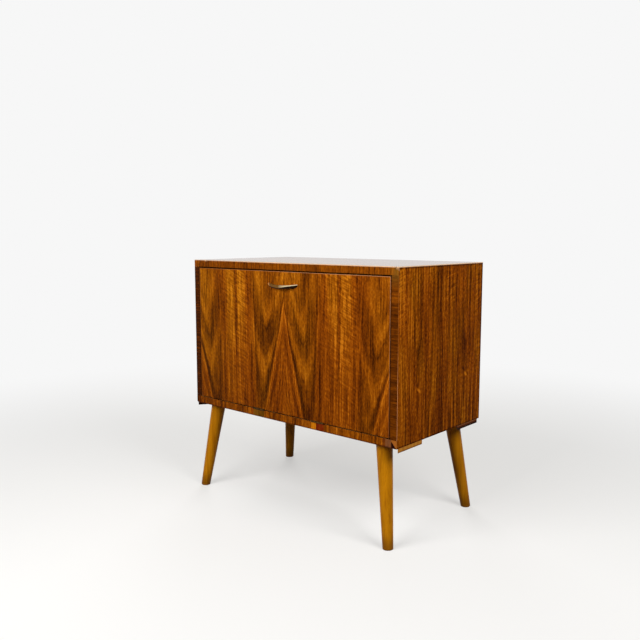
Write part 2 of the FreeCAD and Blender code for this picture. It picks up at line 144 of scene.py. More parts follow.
class Surface:
    """A node material around one principled shader, in the object's own coordinates."""

    def __init__(self, name, **constants):
        self.material = bpy.data.materials.new(name)
        self.material.use_nodes = True
        self.tree = self.material.node_tree
        self.tree.nodes.clear()
        self.shader = self.tree.nodes.new("ShaderNodeBsdfPrincipled")
        self.output = self.tree.nodes.new("ShaderNodeOutputMaterial")
        self.tree.links.new(self.shader.outputs[0], self.output.inputs["Surface"])
        coordinates = self.tree.nodes.new("ShaderNodeTexCoord")
        self.place = self.split(coordinates.outputs["Object"])
        self.x, self.y, self.z = self.place
        _, self.normal_y, self.normal_z = self.split(coordinates.outputs["Normal"])
        for socket, value in constants.items():
            self.set(socket.replace("_", " "), value)

    def split(self, socket):
        """Three fields of a vector."""
        node = self.tree.nodes.new("ShaderNodeSeparateXYZ")
        self.tree.links.new(socket, node.inputs[0])
        return [Field(self.tree, output) for output in node.outputs]

    def set(self, socket, value):
        """Gives the shader a field or a constant."""
        plug(self.tree, self.shader.inputs[socket], value)

    def noise(self, places, cells, seed=0.0, detail=2.0, roughness=0.5):
        """Cloudy field about 0.5, by its cells per metre along three places, or two and a seed."""
        scaled = [place * count for place, count in zip(places, cells)]
        vector = self.tree.nodes.new("ShaderNodeCombineXYZ")
        for socket, value in zip(vector.inputs, [*scaled, seed]):
            plug(self.tree, socket, value)
        node = self.tree.nodes.new("ShaderNodeTexNoise")
        self.tree.links.new(vector.outputs[0], node.inputs["Vector"])
        node.inputs["Scale"].default_value = 1.0
        node.inputs["Detail"].default_value = detail
        node.inputs["Roughness"].default_value = roughness
        return Field(self.tree, node.outputs["Fac"])

    def sway(self, places, cells, seed=0.0, detail=2.0, roughness=0.5):
        """Noise about 0."""
        return self.noise(places, cells, seed, detail, roughness) - 0.5

    def ramp(self, field, stops):
        """Colours, or grey levels, at places between 0 and 1."""
        node = self.tree.nodes.new("ShaderNodeValToRGB")
        elements = node.color_ramp.elements
        while len(elements) < len(stops):
            elements.new(1.0)
        for element, (place, level) in zip(elements, stops):
            element.position = place
            element.color = level if isinstance(level, tuple) else (level, level, level, 1.0)
        plug(self.tree, node.inputs[0], field)
        return Field(self.tree, node.outputs["Color"])

    def mix(self, factor, first, second):
        """First colour where the factor is 0, second where it is 1."""
        node = self.tree.nodes.new("ShaderNodeMix")
        node.data_type = "RGBA"
        colours = [socket for socket in node.inputs if socket.type == "RGBA"]
        plug(self.tree, node.inputs[0], factor)
        plug(self.tree, colours[0], first)
        plug(self.tree, colours[1], second)
        return Field(self.tree, [s for s in node.outputs if s.type == "RGBA"][0])

    def bump(self, height, depth):
        """Relief from a height field, with its depth in metres."""
        node = self.tree.nodes.new("ShaderNodeBump")
        node.inputs["Strength"].default_value = 1.0
        node.inputs["Distance"].default_value = depth
        plug(self.tree, node.inputs["Height"], height)
        self.set("Normal", Field(self.tree, node.outputs[0]))


# Walnut, from dark to light: a redder kind and a more olive one
RED_WALNUT = (
    (0.0, srgb(58, 20, 1)),
    (0.25, srgb(94, 40, 2)),
    (0.5, srgb(128, 60, 4)),
    (0.75, srgb(158, 80, 7)),
    (1.0, srgb(198, 112, 20)),
)
OLIVE_WALNUT = (
    (0.0, srgb(60, 29, 1)),
    (0.25, srgb(97, 50, 2)),
    (0.5, srgb(132, 72, 4)),
    (0.75, srgb(162, 92, 8)),
    (1.0, srgb(202, 124, 22)),
)
USUAL_OLIVE = 0.3
PORE = srgb(46, 19, 3)
# Pale arris: bare wood of worn edges, and a painted highlight
BARE_ARRIS_AND_HIGHLIGHT = srgb(232, 192, 150)
LACQUER = {"Roughness": 0.3, "Specular_IOR_Level": 0.015}
POLISH = {"Roughness": 0.11, "Specular_IOR_Level": 0.10}

# Unevenness of growth rings: cells per metre across and along the grain, and reach
RING_WAVES = (
    ((10, 5), 0.010),
    ((28, 10), 0.006),
    ((70, 14), 0.004),
)

# Grain of walnut: cells per metre across and along it, and shares in its tone
FINE_NOISE = {"detail": 3.0, "roughness": 0.6}
STRIPE_CELLS = (130, 1.6)
STRIPE_SEED = 4.0
STRIPE_SHARE = 0.7
VEIN_CELLS = (100, 0.9)
VEIN_SEED = 9.0
VEIN_WIDTH = 0.08
VEIN_SHARE = 0.20
DASH_CELLS = (270, 9)
DASH_SHARE = 1.4
MOTTLE_CELLS = (330, 110)
MOTTLE_SHARE = 0.85
GRAIN_LIFT = 0.03
PORE_CELLS = (2600, 70)
PORE_EDGE = (0.60, 0.72)
PORE_COVER = 0.5
PORE_DEPTH = 0.00006


def growth(surface, across, along, centre, apex, lean, taper, rounding):
    """Distance from the middle of growth rings that meet the veneer in nested leaning arches."""
    lift = along - apex
    side = across - centre - lift * lean
    ring = (side * side + rounding * rounding).root() - lift * taper
    for cells, reach in RING_WAVES:
        ring = ring + surface.sway((across, along), cells) * reach
    return ring


def walnut(surface, ring, across, along, tone, olive=USUAL_OLIVE, relief=PORE_DEPTH, grain=1.0):
    """Colour of lacquered walnut: streaks along its rings, dashes and pores along its grain."""
    stripe = surface.sway((ring, along), STRIPE_CELLS, STRIPE_SEED, **FINE_NOISE)
    vein = abs(surface.sway((ring, along), VEIN_CELLS, VEIN_SEED))
    dash = surface.sway((across, along), DASH_CELLS, **FINE_NOISE)
    mottle = surface.sway((across, along), MOTTLE_CELLS)
    pore = surface.noise((across, along), PORE_CELLS, detail=1.0).step(*PORE_EDGE)
    figure = stripe * STRIPE_SHARE + dash * DASH_SHARE + mottle * MOTTLE_SHARE
    figure = figure - vein.stroke(0.0, VEIN_WIDTH, VEIN_SHARE)
    tone = tone + figure * grain + GRAIN_LIFT
    colour = surface.mix(olive, surface.ramp(tone, RED_WALNUT), surface.ramp(tone, OLIVE_WALNUT))
    if relief:
        surface.bump(1 - pore, relief)
    return surface.mix(pore * PORE_COVER, colour, PORE)


# Flap: four matched leaves about a middle seam and two outer seams.
# Places across a leaf are measured from its outer seam.
MIDDLE_SEAM = 0.001
OUTER_SEAM = 0.1887
RIGHT_SEED = 5.0
OUTER_SEED = 9.0
OUTER_SLIDE = 0.039
RIGHT_SLIDE = 0.029
FLAP_TONE = 0.49
UPWARD_PAINTED_LIGHT = 0.05
RIGHT_TONE = 0.03
CURL_CELLS = (85, 40)
CURL_SHARE = 0.25
CLOUD_CELLS = (18, 5)
CLOUD_SHARE = 0.5

# Arches of the growth rings in each leaf, which lean more in the outer leaves
ARCH_CENTRE = 0.112
ARCH_APEX = 0.407
ARCH_LEAN = 0.103
ARCH_TAPER = 0.113
ARCH_ROUNDING = 0.030
OUTER_SHIFT = 0.013
OUTER_LEAN = 0.075

# Nested arcs inside the arches: height of the tip of an arc, and its tone
ARC_LEVELS = (
    (0.20, 0.42),
    (0.30, 0.40),
    (0.352, 0.36),
    (0.372, 0.45),
    (0.384, 0.63),
    (0.412, 0.60),
    (0.428, 0.36),
    (0.455, 0.28),
    (0.500, 0.31),
    (0.525, 0.48),
    (0.545, 0.58),
    (0.570, 0.50),
    (0.62, 0.50),
)
ARC_LOW = 0.20
ARC_SPAN = 0.42
ARC_SLOPE = 2.6
ARC_TIP = 0.006
ARC_LEAN = 0.09
ARC_DROP = 0.011
RIGHT_ARC_RISE = 0.003
OUTER_RIGHT_ARC_DROP = 0.018
WANDER_CELLS = (20, 8)
WANDER_REACH = 0.05
QUIVER_CELLS = (90, 22)
QUIVER_REACH = 0.022
CLEAR_CELLS = (13, 6)
CLEAR_SHARE = 1.3
CLEAR_LEAST = 0.60

# Heart of the arches: soft towards the outer seam, and with a rim of a light and a dark line
# on its other side
HEART_EDGE = 0.045
SHARP_BLUR = 0.006
SOFT_BLUR = 0.016
SOFT_SIDE = (-0.014, 0.010)
RIM_LIGHT = (0.0485, 0.0024, 0.24)
RIM_DARK = (0.0420, 0.0060, 0.16)
RIM_SIDE = (-0.012, 0.020)
RIM_LEAST = 0.2

# Bright band along the outer seams, dimmer stripes beside it, and dark lines
BAND_CELLS = (25, 16)
BAND_WANDER = 0.008
BAND_START = (0.0020, 0.0045)
BAND_END = (0.028, 0.050)
BAND_UPWARD = 0.26
BAND_LOSS = 0.02
BAND_DULL = 0.05
DIM_BAND = (0.048, 0.074, 0.008)
DIM_SHARE = 0.03
LOW_DIM = 0.02
JOINT_LINE = (0.063, 0.0022)
JOINT_SHARE = 0.12
JOINT_LOW_RIGHT = 0.35
THIN_LINE = (0.052, 0.0014, 0.08)
SEAM_LINE = (0.0008, 0.0018, 0.34)
SEAM_LEAN = 0.0035

# Slanting ripple of the bright band
RIPPLE_CELLS = (175, 30)
RIPPLE_SLANT = 0.42
RIPPLE_END = (0.036, 0.075)
RIPPLE_LOW = 0.35
RIPPLE_UPWARD = 0.85
RIPPLE_DULL = 0.40
RIPPLE_LEAST = 0.12

# Patches of the leaves: start and end across the flap, low and high, and change of tone
FLAP_PATCHES = (
    (-0.026, 0.026, 0.51, 0.61, 0.15),
    (0.062, 0.100, 0.57, 0.70, -0.22),
    (0.156, 0.180, 0.58, 0.70, -0.12),
    (-0.206, -0.162, 0.25, 0.48, 0.15),
    (0.174, 0.204, 0.25, 0.52, 0.20),
    (0.314, 0.350, 0.25, 0.53, 0.14),
    (-0.350, -0.318, 0.45, 0.57, 0.13),
    (0.080, 0.140, 0.35, 0.50, -0.09),
    (-0.258, -0.212, 0.42, 0.58, -0.09),
    (-0.150, -0.112, 0.25, 0.36, 0.12),
)
PATCH_BLUR = 0.009
PATCH_RISE_BLUR = 0.03

# How olive the flap is: in the heart, high in the bright band, in clouds, and towards the left
OLIVE_HEART = 0.6
OLIVE_BAND = 0.7
OLIVE_CLOUD = 1.2
OLIVE_LEFT = 0.7


class Leaves:
    """Places on the four matched leaves of the flap."""

    def __init__(self, surface):
        from_middle = abs(surface.x - MIDDLE_SEAM)
        self.across = abs(from_middle - OUTER_SEAM)
        self.outer = from_middle.above(OUTER_SEAM)
        self.right = surface.x.above(MIDDLE_SEAM)
        self.seed = self.right * RIGHT_SEED + self.outer * OUTER_SEED
        # The outer left and the inner right leaf shine less
        self.dull = abs(self.outer - self.right)
        self.along = surface.z + (self.outer * OUTER_SLIDE).most(self.right * RIGHT_SLIDE)
        self.height = surface.z.step(flap_low.z, flap_high.z)
        self.grain = (self.across, self.along)


def flap_arches(surface, leaves):
    """Growth rings of the leaves, their heart, and the tone of the arcs and the rim."""
    outer, right = leaves.outer, leaves.right
    centre = ARCH_CENTRE - outer * OUTER_SHIFT
    lean = outer * OUTER_LEAN + ARCH_LEAN
    ring = growth(surface, *leaves.grain, centre, ARCH_APEX, lean, ARCH_TAPER, ARCH_ROUNDING)

    level = surface.z + right * outer * OUTER_RIGHT_ARC_DROP - right * RIGHT_ARC_RISE + ARC_DROP
    side = leaves.across - ARCH_CENTRE - (level - ARCH_APEX) * ARC_LEAN
    wander = surface.sway(leaves.grain, WANDER_CELLS, leaves.seed) * WANDER_REACH
    quiver = surface.sway(leaves.grain, QUIVER_CELLS, leaves.seed) * QUIVER_REACH
    bow = ((side * side + ARC_TIP * ARC_TIP).root() - ARC_TIP) * ARC_SLOPE
    tip = level - bow + wander + quiver
    stops = [((place - ARC_LOW) / ARC_SPAN, tone) for place, tone in ARC_LEVELS]
    arcs = surface.ramp((tip - ARC_LOW) * (1 / ARC_SPAN), stops)
    clear = surface.noise(leaves.grain, CLEAR_CELLS, leaves.seed) * CLEAR_SHARE + CLEAR_LEAST

    blur = (1 - side.step(*SOFT_SIDE)) * SOFT_BLUR + SHARP_BLUR
    heart = 1 - ring.step(HEART_EDGE - blur, HEART_EDGE + blur)
    rim = ring.stroke(*RIM_LIGHT) - ring.stroke(*RIM_DARK)
    rim = rim * (side.step(*RIM_SIDE) * (1 - RIM_LEAST) + RIM_LEAST)
    return ring, heart, (arcs - FLAP_TONE) * clear * heart + rim


def flap_bands(surface, leaves, heart):
    """Bright band along the outer seams, and the tone of bands, lines, seams and ripple."""
    across, height = leaves.across, leaves.height
    wavering = across + surface.sway(leaves.grain, BAND_CELLS) * BAND_WANDER
    band = across.step(*BAND_START) * (1 - wavering.step(*BAND_END))
    bright = band * (height * BAND_UPWARD - BAND_LOSS - leaves.dull * BAND_DULL)
    dim = wavering.band(*DIM_BAND) * DIM_SHARE + (1 - heart) * (1 - height) * LOW_DIM
    low_right = leaves.right * (1 - leaves.outer) * (1 - height)
    lines = across.spot(*JOINT_LINE) * (low_right * JOINT_LOW_RIGHT + JOINT_SHARE)
    lines = lines + across.stroke(*THIN_LINE) + (across - height * SEAM_LEAN).stroke(*SEAM_LINE)

    slanted = leaves.along + surface.x * RIPPLE_SLANT
    ripple = surface.sway((slanted, surface.x), RIPPLE_CELLS, detail=1.0)
    rippled = (1 - across.step(*RIPPLE_END)) * (RIPPLE_LOW + height * RIPPLE_UPWARD)
    rippled = rippled * (1 - leaves.dull * RIPPLE_DULL) + RIPPLE_LEAST
    return band, bright - dim - lines + ripple * rippled


def flap_veneer():
    """Matched leaves with arches, dark stripes and a bright rippled band at the outer seams."""
    surface = Surface("flap_veneer", **LACQUER)
    leaves = Leaves(surface)
    ring, heart, arches = flap_arches(surface, leaves)
    band, bands = flap_bands(surface, leaves, heart)
    curl = surface.sway(leaves.grain, CURL_CELLS, leaves.seed)
    cloud = surface.sway(leaves.grain, CLOUD_CELLS, leaves.seed)
    tone = arches + bands + cloud * CLOUD_SHARE + curl * heart * CURL_SHARE
    # Painted light: the flap grows lighter towards the top
    tone = tone + leaves.height * UPWARD_PAINTED_LIGHT + leaves.right * RIGHT_TONE + FLAP_TONE
    for start, end, low, high, change in FLAP_PATCHES:
        patch = surface.x.band(start, end, PATCH_BLUR) * surface.z.band(low, high, PATCH_RISE_BLUR)
        tone = tone + patch * change
    olive = heart * OLIVE_HEART + band * leaves.height * OLIVE_BAND
    olive = olive + cloud * OLIVE_CLOUD - surface.x * OLIVE_LEFT
    surface.set("Base Color", walnut(surface, ring, *leaves.grain, tone, olive.clamped()))
    return surface.material


# Sides: two matched leaves about a seam; places are depths behind the front, and heights
SIDE_SEAM = 0.194
SIDE_GROWTH = {"centre": 0.110, "apex": 0.348, "lean": 0.01, "taper": 0.036, "rounding": 0.022}
SIDE_LACQUER = {"Roughness": 0.34, "Specular_IOR_Level": 0.004}
SIDE_TONE = 0.50
FRONT_BAND = (-0.02, 0.026, 0.010)
FRONT_TONE = 0.15
REAR_SEED = 3.0
SIDE_STRIPE_CELLS = (95, 2.2)
SIDE_STRIPE_SHARE = 0.45
SIDE_GRAIN_CELLS = (230, 2.6)
SIDE_GRAIN_ROUGHNESS = 0.7
SIDE_GRAIN_SHARE = 1.45
SIDE_MOTTLE_CELLS = (210, 130)
SIDE_MOTTLE_SHARE = 0.6
SIDE_CLOUD_CELLS = (22, 5)
SIDE_CLOUD_SEED = 2.0
SIDE_CLOUD_SHARE = 0.3
SIDE_OLIVE = 0.2
SIDE_OLIVE_CLOUD = 2.2
GLINT_CELLS = (300, 2.0)
GLINT_SEED = 6.0
GLINT_EDGE = (0.55, 0.68)
GLINT_SHARE = 0.42
GLINT_LOSS = 0.04

# Pale lines along the sides: depths, reach and strength
SIDE_LINES = (0.113, 0.163, 0.213)
SIDE_LINE_REACH = 0.0016
SIDE_LINE_SHARE = 0.20

# Stripes of the sides: start and end in depth, low and high, and drop in tone, below 0 if lighter
SIDE_SHADES = (
    (0.160, 0.190, 0.52, 0.75, 0.23),
    (0.176, 0.202, 0.20, 0.52, 0.17),
    (0.040, 0.062, 0.58, 0.75, 0.14),
    (0.062, 0.115, 0.61, 0.75, 0.04),
    (-0.020, 0.036, 0.54, 0.75, -0.08),
    (0.020, 0.058, 0.39, 0.62, -0.12),
    (0.036, 0.102, 0.20, 0.40, -0.11),
    (0.240, 0.262, 0.46, 0.55, 0.14),
    (0.262, 0.280, 0.60, 0.75, 0.12),
    (0.280, 0.300, 0.20, 0.33, 0.09),
    (0.320, 0.370, 0.33, 0.41, -0.10),
    (0.083, 0.111, 0.43, 0.65, 0.13),
    (0.268, 0.298, 0.41, 0.57, 0.17),
    (0.296, 0.335, 0.60, 0.75, 0.12),
)
SHADE_BLUR = 0.006
SHADE_RISE_BLUR = 0.03

# Two small pale knots, each with a dark swirl over its front end: depth and height
KNOTS = (
    (0.090, 0.379),
    (0.310, 0.389),
)
KNOT_SLANT = 0.5
KNOT_LENGTH = 0.012
KNOT_HEIGHT = 0.0065
KNOT_TONE = 0.9
SWIRL_BACK = (-0.012, 0.022)
SWIRL_RISE = (0.010, 0.008)
SWIRL_TONE = 0.22

# Pale lines that open upwards below the knots
TAIL_CENTRE = 0.108
TAIL_FOOT = 0.25
TAIL_HALF = 0.014
TAIL_SPREAD = 0.19
TAIL_LINE = (0.0, 0.0022, 0.16)
TAIL_END = (0.32, 0.37)

# Rippled stripes of the sides: start and end in depth, and the height at which they begin
SIDE_RIPPLES = (
    (-0.020, 0.030, 0.53),
    (0.125, 0.155, 0.64),
    (0.207, 0.255, 0.57),
    (0.352, 0.400, 0.56),
)
SIDE_RIPPLE_CELLS = (210, 30)
SIDE_RIPPLE_SLANT = 0.3
SIDE_RIPPLE_BLUR = 0.008
SIDE_RIPPLE_RISE_BLUR = 0.03
SIDE_RIPPLE_SHARE = 0.95
SIDE_RIPPLE_LEAST = 0.22
SIDE_RIPPLE_CLOUD = 0.4

# Dark edges of the sides, with painted shade along the lower one, and the bare arris at the top
# with a painted highlight: start and end, measured from the edge
TOP_EDGE = (-0.0080, -0.0030)
BACK_EDGE = (-0.0060, -0.0035)
BASE_EDGE = (0.0016, 0.0050)
EDGE_DROP = 0.38
TOP_ARRIS = (-0.0024, -0.0014)


def side_tone(surface, depth):
    """Tone of the marks at set places of the sides: shades, lines, knots and tails."""
    tone = depth.band(*FRONT_BAND) * FRONT_TONE + SIDE_TONE
    for start, end, low, high, drop in SIDE_SHADES:
        shade = depth.band(start, end, SHADE_BLUR) * surface.z.band(low, high, SHADE_RISE_BLUR)
        tone = tone - shade * drop
    for place in SIDE_LINES:
        tone = tone + depth.stroke(place, SIDE_LINE_REACH, SIDE_LINE_SHARE)
    for knot_depth, knot_rise in KNOTS:
        back = depth - knot_depth
        rise = surface.z - knot_rise + back * KNOT_SLANT
        swirl = back.spot(*SWIRL_BACK) * rise.spot(*SWIRL_RISE)
        knot = back.spot(0.0, KNOT_LENGTH) * rise.spot(0.0, KNOT_HEIGHT)
        tone = tone + knot * KNOT_TONE - swirl * SWIRL_TONE
    across = abs(depth - SIDE_SEAM)
    tail = abs(across - TAIL_CENTRE) - (surface.z - TAIL_FOOT) * TAIL_SPREAD - TAIL_HALF
    return tone + tail.stroke(*TAIL_LINE) * (1 - surface.z.step(*TAIL_END))


def side_veneer():
    """Straight-grained walnut outside, and plain wood inside and on the rear edge."""
    surface = Surface("side_veneer", **SIDE_LACQUER)
    depth = surface.y - FRONT_Y
    across = abs(depth - SIDE_SEAM)
    rear = depth.above(SIDE_SEAM)
    grain = (depth, surface.z)
    ring = growth(surface, across, surface.z, **SIDE_GROWTH)
    stripes = surface.sway((across, surface.z), SIDE_STRIPE_CELLS, rear * REAR_SEED, **FINE_NOISE)
    lines = surface.sway(grain, SIDE_GRAIN_CELLS, detail=3.0, roughness=SIDE_GRAIN_ROUGHNESS)
    mottle = surface.sway(grain, SIDE_MOTTLE_CELLS, detail=1.0)
    glint = surface.noise(grain, GLINT_CELLS, GLINT_SEED).step(*GLINT_EDGE)
    cloud = surface.sway(grain, SIDE_CLOUD_CELLS, SIDE_CLOUD_SEED)

    slanted = surface.z - surface.y * SIDE_RIPPLE_SLANT
    ripple = surface.sway((slanted, surface.y), SIDE_RIPPLE_CELLS, detail=1.0)
    rippled = cloud * SIDE_RIPPLE_CLOUD + SIDE_RIPPLE_LEAST
    for start, end, low in SIDE_RIPPLES:
        upper = surface.z.step(low - SIDE_RIPPLE_RISE_BLUR, low + SIDE_RIPPLE_RISE_BLUR)
        rippled = rippled + depth.band(start, end, SIDE_RIPPLE_BLUR) * upper * SIDE_RIPPLE_SHARE

    from_top = surface.z - TOP_Z
    edge = from_top.step(*TOP_EDGE).most((surface.y - BACK_Y).step(*BACK_EDGE))
    # Painted shade along the lower edge
    edge = edge.most(1 - (surface.z - BASE_Z).step(*BASE_EDGE))
    tone = side_tone(surface, depth) + stripes * SIDE_STRIPE_SHARE + lines * SIDE_GRAIN_SHARE
    tone = tone + mottle * SIDE_MOTTLE_SHARE + cloud * SIDE_CLOUD_SHARE + ripple * rippled
    tone = tone - edge * EDGE_DROP + glint * GLINT_SHARE - GLINT_LOSS
    olive = stripes + cloud * SIDE_OLIVE_CLOUD + SIDE_OLIVE
    face = walnut(surface, ring, across, surface.z, tone, olive.clamped())
    # Pale arris at the top: bare wood and a painted highlight
    face = surface.mix(from_top.step(*TOP_ARRIS), face, BARE_ARRIS_AND_HIGHLIGHT)
    inside = plain_wood(surface, surface.y, surface.z)
    outside = abs(surface.x).above(SIDE_MIDDLE_X) * (1 - surface.normal_y.above(FACING))
    surface.set("Base Color", surface.mix(outside, inside, face))
    return surface.material


# Top: quiet walnut, calmed by a plain brown
TOP_GROWTH = {"centre": 0.10, "apex": -0.2, "lean": 0.01, "taper": 0.04, "rounding": 0.03}
TOP_STRIPE_CELLS = (90, 0.8)
TOP_STRIPE_SHARE = 0.9
TOP_TONE = 0.45
CALM_BROWN = srgb(98, 62, 8)
CALM_SHARE = 0.5


def top_veneer():
    """Straight-grained walnut along the top board, plain wood below it and on its rear edge."""
    surface = Surface("top_veneer", **POLISH)
    across = abs(surface.y)
    ring = growth(surface, across, surface.x, **TOP_GROWTH)
    stripes = surface.sway((across, surface.x), TOP_STRIPE_CELLS, **FINE_NOISE)
    tone = TOP_TONE + stripes * TOP_STRIPE_SHARE
    figured = walnut(surface, ring, across, surface.x, tone, relief=0)
    face = surface.mix(CALM_SHARE, figured, CALM_BROWN)
    inside = plain_wood(surface, surface.y, surface.x)
    surface.set("Base Color", surface.mix(surface.normal_z.above(FACING), inside, face))
    return surface.material


# Plain lacquered wood of the inside, and bare plywood of the back, from dark to light
PLAIN = (
    (0.2, srgb(118, 70, 28)),
    (0.5, srgb(150, 96, 44)),
    (0.8, srgb(178, 122, 64)),
)
PLYWOOD = (
    (0.2, srgb(150, 108, 62)),
    (0.5, srgb(176, 134, 84)),
    (0.8, srgb(196, 156, 106)),
)
STREAK_CELLS = (120, 2.0)
HAIR_CELLS = (1100, 9)
HAIR_SHARE = 0.5
STREAK_NOISE = {"detail": 4.0, "roughness": 0.6}


def plain_wood(surface, across, along, palette=PLAIN):
    """Quiet straight grain."""
    streak = surface.noise((across, along), STREAK_CELLS, **STREAK_NOISE)
    hair = surface.sway((across, along), HAIR_CELLS)
    return surface.ramp(streak + hair * HAIR_SHARE, palette)


def bottom_veneer():
    """Plain wood on both faces of the bottom board."""
    surface = Surface("bottom_veneer", Roughness=0.42, Specular_IOR_Level=0.15)
    surface.set("Base Color", plain_wood(surface, surface.y, surface.x))
    return surface.material


def inside_wood():
    """Plain lacquered wood of the shelf and the splines."""
    surface = Surface("inside_wood", Roughness=0.38, Specular_IOR_Level=0.25)
    surface.set("Base Color", plain_wood(surface, surface.y, surface.x))
    return surface.material


def plywood():
    """Bare plywood of the back panel."""
    surface = Surface("plywood", Roughness=0.62, Specular_IOR_Level=0.2)
    surface.set("Base Color", plain_wood(surface, surface.x, surface.z, PLYWOOD))
    return surface.material


# Edge strips: walnut with its grain across the strip; painted shade on their sides in the gap
# round the flap, in the dark colour of seams and splits
JOINT_DARK_AND_GAP_SHADE = srgb(60, 18, 6)
STRIP_CLOUD_CELLS = (24, 6)


def strip_face(surface, length, width, tone, contrast, grain=1.0):
    """Colour of walnut whose grain runs across the length of a strip."""
    cloud = surface.sway((length, width), STRIP_CLOUD_CELLS)
    return walnut(surface, length, length, width, tone + cloud * contrast, grain=grain)


def finish_strip(surface, face, outward, outer_colour=BARE_ARRIS_AND_HIGHLIGHT):
    """Bare wood on the outer side of a strip and painted shade on the side that faces the gap."""
    side = surface.mix(outward, JOINT_DARK_AND_GAP_SHADE, outer_colour)
    front = (surface.normal_y * -1).above(FACING)
    surface.set("Base Color", surface.mix(front, side, face))
    return surface.material


# Top strip: tone, the worn upper arris with its painted highlight, and places from the middle and
# from the top edge
TOP_STRIP_TONE = 0.44
TOP_STRIP_RIGHT = 0.2
TOP_STRIP_CONTRAST = 0.6
WEAR_CELLS = (160, 300)
WEAR_AND_HIGHLIGHT_WANDER = 0.0012
WEAR_AND_HIGHLIGHT_EDGE = (0.0014, 0.0026)
WEAR_AND_HIGHLIGHT_RIGHT = (-0.30, 0.0)
WEAR_AND_HIGHLIGHT_LEAST = 0.5
WEAR_AND_HIGHLIGHT_COVER = 0.85

# Chips: place from the middle, half length, and depth from the top edge
TOP_CHIPS = (
    (-0.317, 0.009, 0.0045),
    (0.362, 0.007, 0.007),
)

# Faded and split right end of the top strip
TOP_BLOT_CELLS = (420, 420)
TOP_BLOT_SHARE = 0.9
TOP_FADE_LEAST = 0.05
TOP_FADE_START = (0.336, 0.360)
TOP_FADE_DEPTH = 0.006
TOP_FADE_WANDER = 0.012
TOP_FADED = srgb(128, 92, 28)
SPLIT_AT = 0.3605
SPLIT_SLANT = 0.6
SPLIT_REACH = 0.0022
SPLIT_END = (0.003, 0.007)
SPLIT_COVER = 0.85


def top_strip():
    """Top strip, lighter to the right: a worn arris with a painted highlight, two chips and a
    faded, split right end.
    """
    surface = Surface("top_strip", **LACQUER)
    tone = surface.x * TOP_STRIP_RIGHT + TOP_STRIP_TONE
    face = strip_face(surface, surface.x, surface.z, tone, TOP_STRIP_CONTRAST)
    drop = strip_high.z - surface.z
    rough = surface.sway((surface.x, surface.z), WEAR_CELLS)
    # Worn upper arris with a painted highlight, weaker to the left
    wear_and_highlight = 1 - (drop + rough * WEAR_AND_HIGHLIGHT_WANDER).step(*WEAR_AND_HIGHLIGHT_EDGE)
    wear_and_highlight = wear_and_highlight * (surface.x.step(*WEAR_AND_HIGHLIGHT_RIGHT) * (1 - WEAR_AND_HIGHLIGHT_LEAST) + WEAR_AND_HIGHLIGHT_LEAST)
    for place, half, depth in TOP_CHIPS:
        chip = (surface.x - place + rough * half).spot(0.0, half)
        wear_and_highlight = wear_and_highlight.most(chip * (1 - (drop + rough * depth).step(0.0, depth)))
    blot = surface.noise((surface.x, surface.z), TOP_BLOT_CELLS)
    faded = (surface.x + rough * TOP_FADE_WANDER).step(*TOP_FADE_START)
    faded = faded * (drop + rough * TOP_FADE_DEPTH).step(0.0, TOP_FADE_DEPTH)
    face = surface.mix(faded * (blot * TOP_BLOT_SHARE + TOP_FADE_LEAST), face, TOP_FADED)
    face = surface.mix(wear_and_highlight * WEAR_AND_HIGHLIGHT_COVER, face, BARE_ARRIS_AND_HIGHLIGHT)
    split = (surface.x - SPLIT_AT + drop * SPLIT_SLANT).spot(0.0, SPLIT_REACH)
    split = split * (1 - drop.step(*SPLIT_END))
    face = surface.mix(split * SPLIT_COVER, face, JOINT_DARK_AND_GAP_SHADE)
    return finish_strip(surface, face, surface.z.above(TOP_MIDDLE_Z))


# Bottom strip: tone, which climbs from its left end, and painted shade along its lower edge
BOTTOM_TONE = 0.18
BOTTOM_CLIMBS = (
    ((-0.36, 0.0), 0.16),
    ((-0.358, -0.338), 0.24),
)
BOTTOM_CONTRAST = 0.7
BOTTOM_SHADE_EDGE = (0.0010, 0.0040)
BOTTOM_SHADE_COVER = 0.65
BOTTOM_BARE = srgb(130, 76, 30)

# Mended pieces of the bottom strip: start, end, colour and how far it covers
MENDS = (
    (-0.129, -0.121, srgb(150, 66, 8), 0.6),
    (-0.121, -0.101, srgb(116, 80, 18), 0.65),
    (-0.101, -0.077, srgb(76, 54, 5), 0.75),
    (0.0965, 0.1135, srgb(216, 128, 16), 0.8),
    (0.1135, 0.140, srgb(118, 26, 8), 0.75),
    (0.325, 0.334, srgb(92, 38, 14), 0.6),
    (0.334, 0.3512, srgb(120, 80, 54), 0.6),
    (0.3512, 0.367, srgb(176, 104, 42), 0.7),
)
MEND_CELLS = (300, 130)
MEND_SEED_SCALE = 90
MEND_GRAIN = 0.9
MEND_BLUR = 0.0006
STRIP_SEAMS = (-0.212, 0.024, 0.239)
STRIP_SEAM_REACH = 0.0012
STRIP_SEAM_COVER = 0.6

# Break at the lower right end of the bottom strip, dark with painted shade
BREAK_START = 0.3512
BREAK_START_BLUR = (0.0008, 0.0006)
BREAK_END = 0.366
BREAK_SLOPE = 1.15
BREAK_EDGE = (-0.0012, 0.0008)
BREAK_SHADE = srgb(36, 8, 5)


